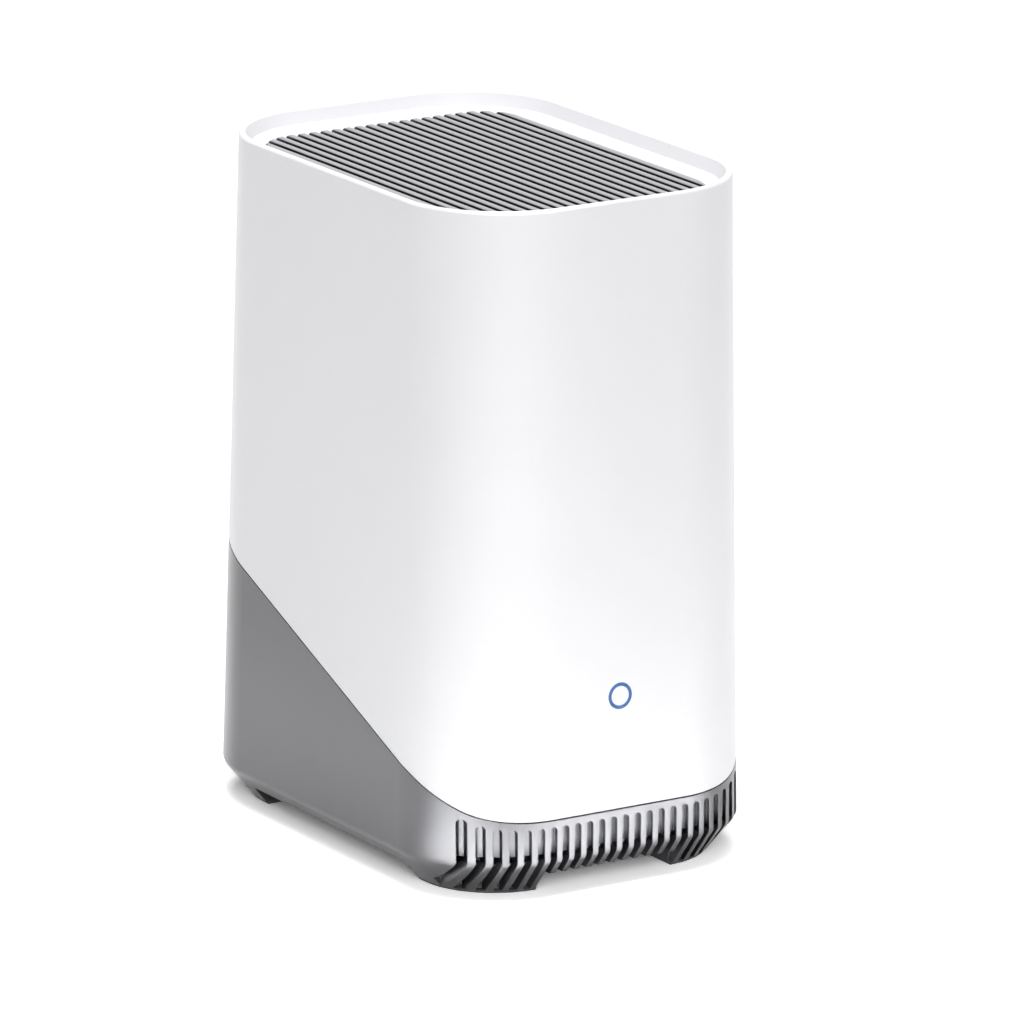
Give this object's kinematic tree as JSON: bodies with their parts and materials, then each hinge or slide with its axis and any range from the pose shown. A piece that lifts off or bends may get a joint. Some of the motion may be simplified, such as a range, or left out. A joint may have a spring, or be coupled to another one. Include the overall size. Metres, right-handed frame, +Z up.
{
  "type": "security camera base station",
  "caption": "Upright hub for wireless security cameras: white tower on a vented grey base with feet, light ring, top grille, rear ports, fan, speaker and a drive sled underneath.",
  "frame": {"origin": "on the surface it stands on, below the middle of the tower", "axes": "+Z up, -Y out of the front with the light ring, +X to the right seen from the front"},
  "size_m": [0.105, 0.1508, 0.194],
  "materials": {
    "white_shell": "satin white",
    "grey_base": "satin grey",
    "grille_grey": "satin light grey",
    "port_black": "fine matt black",
    "pad_rubber": "matt",
    "ring_blue": "clear blue-lit acrylic",
    "core_white": "satin white",
    "board_green": "solder mask",
    "chip_black": "matt",
    "pad_grey": "soft",
    "heatsink_metal": "bead blasted",
    "can_metal": "drawn can",
    "shield_metal": "tinned",
    "cage_steel": "zinc plated",
    "spacer_brass": "turned",
    "contact_gold": "gold plated",
    "header_cream": "matt",
    "screw_steel": "zinc plated",
    "box_black": "matt",
    "driver_metal": "dark plated",
    "cone_paper": "pressed paper",
    "tray_plastic": "matt light grey",
    "bearing_bronze": "sintered",
    "coil_copper": "enamelled wire",
    "lead_black": "matt sleeve"
  },
  "bodies": {
    "hub": {"outer_shell": "white_shell", "base_housing": "grey_base", "top_grille": "grille_grey", "port_panel": "port_black", "foot_pad_front_left": "pad_rubber", "foot_pad_front_right": "pad_rubber", "foot_pad_rear_left": "pad_rubber", "foot_pad_rear_right": "pad_rubber", "light_guide": "ring_blue", "light_guide_core": "core_white", "main_board": "board_green", "led_board": "board_green", "sata_board": "board_green", "antenna_left": "board_green", "antenna_right": "board_green", "processor": "chip_black", "memory_chips": "chip_black", "sync_switch": "chip_black", "reset_switch": "chip_black", "sata_socket": "chip_black", "drive_link": "chip_black", "usb_insert": "chip_black", "dc_jack": "chip_black", "thermal_pad": "pad_grey", "heatsink": "heatsink_metal", "capacitors": "can_metal", "wifi_shield": "shield_metal", "radio_shield": "shield_metal", "usb_shell": "shield_metal", "lan_jack": "shield_metal", "drive_cage": "cage_steel", "board_spacers": "spacer_brass", "lan_contacts": "contact_gold", "dc_pin": "contact_gold", "lead_headers": "header_cream", "case_screws": "screw_steel", "m3_short_screws": "screw_steel", "m2_short_screws": "screw_steel", "m2_long_screws": "screw_steel", "fan_screws": "screw_steel", "speaker_box": "box_black", "fan_frame": "box_black", "speaker_driver": "driver_metal", "speaker_cone": "cone_paper", "fan_tray": "tray_plastic", "fan_bearing": "bearing_bronze", "fan_coils": "coil_copper", "fan_lead": "lead_black", "light_lead": "lead_black", "speaker_lead": "lead_black"},
    "sled": {"drive_sled": "tray_plastic", "sled_cover": "grey_base", "handle_pins": "screw_steel"},
    "handle": {"sled_handle": "grey_base"},
    "rotor": {"fan_rotor": "box_black", "fan_shaft": "screw_steel", "fan_magnet": "driver_metal"},
    "sync": {"sync_button": "port_black", "sync_plunger": "header_cream"},
    "reset": {"reset_plunger": "header_cream"}
  },
  "joints": [
    {"name": "sled_slide", "type": "slide", "parent": "hub", "child": "sled", "axis": [0, 0, -1], "range_m": [0, 0.112]},
    {"name": "handle_fold", "type": "hinge", "parent": "sled", "child": "handle", "pos_m": [0.0118, 0, 0.007], "axis": [0, 1, 0], "range_deg": [0, 90]},
    {"name": "fan_spin", "type": "hinge", "parent": "hub", "child": "rotor", "pos_m": [0, -0.004, 0.1637], "axis": [0, 0, 1], "continuous": true},
    {"name": "sync_press", "type": "slide", "parent": "hub", "child": "sync", "axis": [0, -1, 0], "range_m": [0, 0.0006], "stiffness_N_per_m": 3300},
    {"name": "reset_press", "type": "slide", "parent": "hub", "child": "reset", "axis": [0, -1, 0], "range_m": [0, 0.00025], "stiffness_N_per_m": 6400}
  ]
}
